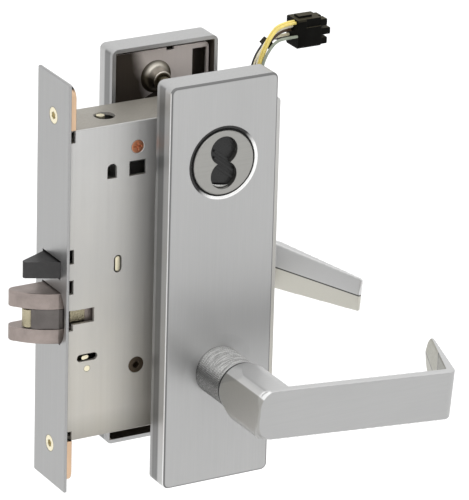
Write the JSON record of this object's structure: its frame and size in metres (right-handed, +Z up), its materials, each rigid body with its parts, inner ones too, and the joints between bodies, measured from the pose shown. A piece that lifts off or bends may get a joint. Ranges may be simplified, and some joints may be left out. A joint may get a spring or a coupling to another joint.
{
  "type": "electrified mortise lock",
  "caption": "Electrified mortise lock with a sprung latch, auxiliary latch, solenoid, key cylinder housing, two escutcheons with levers, and a wire lead with a plug.",
  "frame": {"origin": "outer face of the armour front, at mid door thickness and mid height of the front", "axes": "+X into the door away from the edge, -Y towards the outside of the door, +Z up"},
  "size_m": [0.2086, 0.183, 0.2139],
  "materials": {
    "satin_steel": "satin brushed, light grain along the height",
    "plated_case": "zinc-plated sheet steel, soft sheen",
    "brass_plate": "yellow zinc plate with a copper cast",
    "brass": "machined",
    "taupe_bolt": "sintered, satin taupe grey",
    "dark_steel": "oiled dark grey",
    "bright_steel": "zinc plated, bright",
    "spring_steel": "drawn wire",
    "bronze_screw": "dark bronze",
    "cylinder_face": "satin turned",
    "black_plastic": "moulded, matte",
    "black_rubber": "matte",
    "coil_copper": "enamelled winding",
    "board_green": "printed board",
    "wire_black": "wire insulation",
    "wire_cream": "wire insulation",
    "wire_brown": "wire insulation",
    "wire_white": "wire insulation",
    "wire_yellow": "wire insulation",
    "wire_grey": "wire insulation"
  },
  "bodies": {
    "lock": {"armor_front": "satin_steel", "armor_screws": "brass_plate", "aux_spring": "spring_steel", "case_box": "plated_case", "case_cover": "plated_case", "case_rivets": "bright_steel", "core_blank": "black_plastic", "cover_screws": "brass_plate", "cylinder_clamp_screw": "bright_steel", "cylinder_collar": "black_rubber", "cylinder_housing": "cylinder_face", "front_screws": "bright_steel", "inside_escutcheon": "satin_steel", "inside_mounting_plate": "plated_case", "inside_posts": "bright_steel", "key_lever_post": "bright_steel", "latch_spring": "spring_steel", "lever_bushings": "satin_steel", "lever_return_springs": "spring_steel", "lock_front": "brass_plate", "outside_escutcheon": "satin_steel", "outside_mounting_plate": "plated_case", "outside_posts": "bright_steel", "plate_screws": "bright_steel", "plug_housing": "black_plastic", "plunger_spring": "spring_steel", "solenoid_coil": "coil_copper", "solenoid_frame": "bright_steel", "spring_cages": "bright_steel", "stem_guides": "bright_steel", "stop_screw": "bronze_screw", "terminal_board": "board_green", "through_bolts": "brass", "top_link": "bright_steel", "wire_black": "wire_black", "wire_brown": "wire_brown", "wire_cream": "wire_cream", "wire_grey": "wire_grey", "wire_grommet": "black_rubber", "wire_tie": "black_plastic", "wire_white": "wire_white", "wire_yellow_a": "wire_yellow", "wire_yellow_b": "wire_yellow"},
    "latch": {"latchbolt": "taupe_bolt", "latch_tail": "bright_steel", "tongue_pin": "brass", "tongue_spring": "brass"},
    "tongue": {"anti_friction_tongue": "dark_steel", "tongue_nose": "brass"},
    "aux": {"aux_latch": "dark_steel"},
    "outside_handle": {"outside_lever": "satin_steel", "outside_spindle": "bright_steel", "outside_hub": "bright_steel"},
    "inside_handle": {"inside_lever": "satin_steel", "inside_spindle": "bright_steel", "inside_hub": "bright_steel"},
    "cam": {"cylinder_cam": "bright_steel"},
    "key_crank": {"key_lever": "dark_steel"},
    "plunger": {"solenoid_plunger": "bright_steel", "locking_bar": "bright_steel"}
  },
  "joints": [
    {"name": "inside_lever_turn", "type": "hinge", "parent": "lock", "child": "inside_handle", "pos_m": [0.06985, 0, -0.0436], "axis": [0, 1, 0], "range_deg": [0, 45], "stiffness_Nm_per_rad": 0.8, "springref_deg": -34.38},
    {"name": "outside_lever_turn", "type": "hinge", "parent": "lock", "child": "outside_handle", "pos_m": [0.06985, 0, -0.0436], "axis": [0, 1, 0], "range_deg": [0, 45], "stiffness_Nm_per_rad": 0.8, "springref_deg": -34.38},
    {"name": "latch_slide", "type": "slide", "parent": "lock", "child": "latch", "axis": [1, 0, 0], "range_m": [0, 0.019], "stiffness_N_per_m": 150, "springref_m": -0.02, "deforming": ["latch_spring"]},
    {"name": "tongue_swing", "type": "hinge", "parent": "latch", "child": "tongue", "pos_m": [0.007, 0.003, -0.0155], "axis": [0, 0, 1], "range_deg": [-12, 0], "stiffness_Nm_per_rad": 0.05, "springref_deg": 17.19},
    {"name": "aux_slide", "type": "slide", "parent": "lock", "child": "aux", "axis": [1, 0, 0], "range_m": [0, 0.012], "stiffness_N_per_m": 150, "springref_m": -0.015, "deforming": ["aux_spring"]},
    {"name": "cylinder_cam_turn", "type": "hinge", "parent": "lock", "child": "cam", "pos_m": [0.06985, 0, 0.06], "axis": [0, 1, 0], "range_deg": [0, 90]},
    {"name": "key_lever_turn", "type": "hinge", "parent": "lock", "child": "key_crank", "pos_m": [0.092, 0, 0.022], "axis": [0, 1, 0], "range_deg": [-12, 0]},
    {"name": "solenoid_slide", "type": "slide", "parent": "lock", "child": "plunger", "axis": [1, 0, 0], "range_m": [0, 0.004], "stiffness_N_per_m": 300, "springref_m": -0.003, "deforming": ["plunger_spring"]}
  ],
  "couplings": [
    {"joint": "latch_slide", "follows": "inside_lever_turn", "m_per_rad": 0.024192},
    {"joint": "key_lever_turn", "follows": "cylinder_cam_turn", "ratio": -0.13333}
  ]
}
